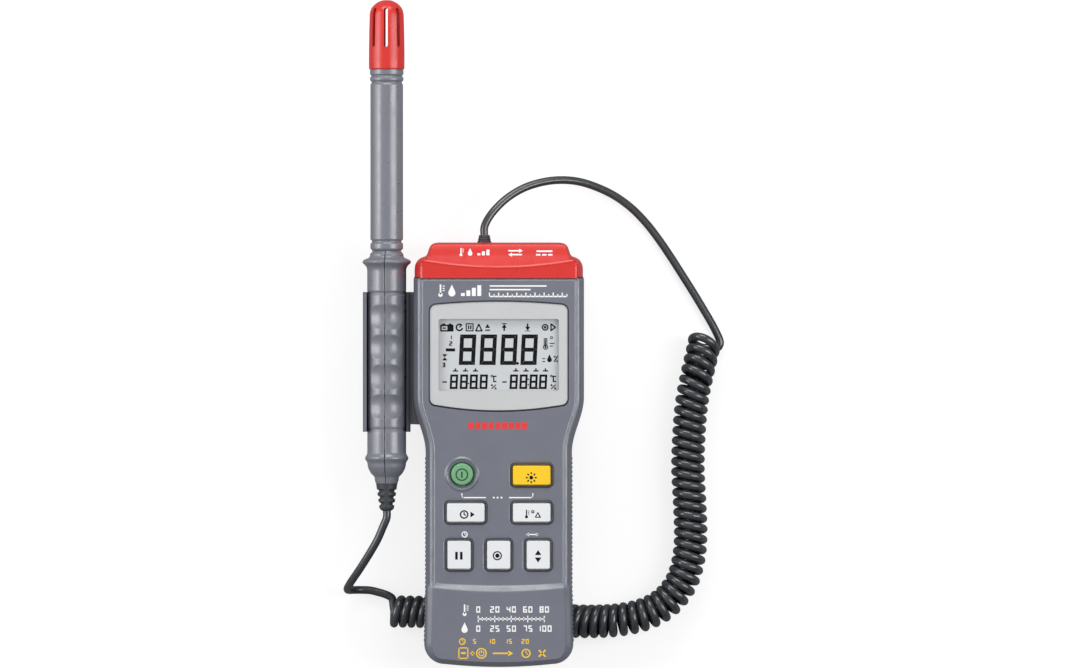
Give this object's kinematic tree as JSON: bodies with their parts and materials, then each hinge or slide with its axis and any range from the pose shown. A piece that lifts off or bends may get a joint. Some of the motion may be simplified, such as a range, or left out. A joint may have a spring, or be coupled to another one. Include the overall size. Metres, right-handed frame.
{
  "type": "handheld thermo-hygrometer with corded probe",
  "caption": "Handheld digital meter with display and push keys, a tube-shaped humidity and temperature probe in its side clip, and a coiled cord between the probe and the sensor socket.",
  "frame": {"origin": "centre of the head's flat back, which lies on the table", "axes": "+Z out of the meter's face, +Y along the meter towards the end cap with the sockets, +X to the right when the face is looked at"},
  "size_m": [0.1682, 0.2937, 0.0414],
  "materials": {
    "case_grey": "fine textured grey plastic",
    "red_plastic": "satin red plastic",
    "clear_pane": "clear flat pane",
    "silver_print": "silver print behind the pane",
    "lcd_glass": "pale grey liquid crystal glass",
    "white_plastic": "plain white plastic",
    "black_plastic": "black plastic",
    "rubber_dark": "soft dark rubber",
    "circuit_board": "green coated board",
    "green_key": "satin green key",
    "yellow_key": "satin yellow key",
    "white_key": "satin white key",
    "battery_case": "coated battery can",
    "screw_steel": "plated steel",
    "sensor_metal": "bare metal",
    "pin_brass": "plated contact pins",
    "cord_dark": "satin dark grey cord"
  },
  "bodies": {
    "meter": {"front_shell": "case_grey", "rear_shell": "case_grey", "end_cap": "red_plastic", "display_window": "clear_pane", "display_bezel": "silver_print", "lcd_panel": "lcd_glass", "lcd_frame": "white_plastic", "backlight_panel": "white_plastic", "zebra_strips": "rubber_dark", "main_board": "circuit_board", "board_components": "black_plastic", "tact_switches": "black_plastic", "keypad_mat": "rubber_dark", "battery_9v": "battery_case", "battery_snap": "black_plastic", "battery_leads": "black_plastic", "rear_screws": "screw_steel", "sensor_socket": "black_plastic", "data_jack": "black_plastic", "dc_jack": "black_plastic", "socket_board": "circuit_board", "probe_holder": "case_grey", "holder_screws": "screw_steel", "cord_coil": "cord_dark"},
    "power_key": {"key_power": "green_key"},
    "light_key": {"key_light": "yellow_key"},
    "time_key": {"key_time": "white_key"},
    "units_key": {"key_units": "white_key"},
    "hold_key": {"key_hold": "white_key"},
    "record_key": {"key_record": "white_key"},
    "max_min_key": {"key_max_min": "white_key"},
    "door": {"battery_door": "case_grey"},
    "probe": {"handle_left": "case_grey", "handle_right": "case_grey", "stem_tube": "case_grey", "sensor_guard": "red_plastic", "sensor_board": "circuit_board", "humidity_sensor": "white_plastic", "temperature_sensor": "sensor_metal", "strain_relief": "rubber_dark", "inner_cable": "cord_dark", "probe_lead": "cord_dark"},
    "plug": {"plug_body": "cord_dark", "plug_shell": "sensor_metal", "plug_pins": "pin_brass", "plug_lead": "cord_dark"}
  },
  "joints": [
    {"name": "power_press", "type": "slide", "parent": "meter", "child": "power_key", "axis": [0, 0, -1], "range_m": [0, 0.001], "stiffness_N_per_m": 300},
    {"name": "light_press", "type": "slide", "parent": "meter", "child": "light_key", "axis": [0, 0, -1], "range_m": [0, 0.001], "stiffness_N_per_m": 300},
    {"name": "time_press", "type": "slide", "parent": "meter", "child": "time_key", "axis": [0, 0, -1], "range_m": [0, 0.001], "stiffness_N_per_m": 300},
    {"name": "units_press", "type": "slide", "parent": "meter", "child": "units_key", "axis": [0, 0, -1], "range_m": [0, 0.001], "stiffness_N_per_m": 300},
    {"name": "hold_press", "type": "slide", "parent": "meter", "child": "hold_key", "axis": [0, 0, -1], "range_m": [0, 0.001], "stiffness_N_per_m": 300},
    {"name": "record_press", "type": "slide", "parent": "meter", "child": "record_key", "axis": [0, 0, -1], "range_m": [0, 0.001], "stiffness_N_per_m": 300},
    {"name": "max_min_press", "type": "slide", "parent": "meter", "child": "max_min_key", "axis": [0, 0, -1], "range_m": [0, 0.001], "stiffness_N_per_m": 300},
    {"name": "battery_door_slide", "type": "slide", "parent": "meter", "child": "door", "axis": [0, -1, 0], "range_m": [0, 0.034]},
    {"name": "probe_lift", "type": "slide", "parent": "meter", "child": "probe", "axis": [0, 0, 1], "range_m": [0, 0.03], "deforming": ["probe_lead"]},
    {"name": "plug_pull", "type": "slide", "parent": "meter", "child": "plug", "axis": [0, 1, 0], "range_m": [0, 0.014], "deforming": ["plug_lead"]}
  ]
}
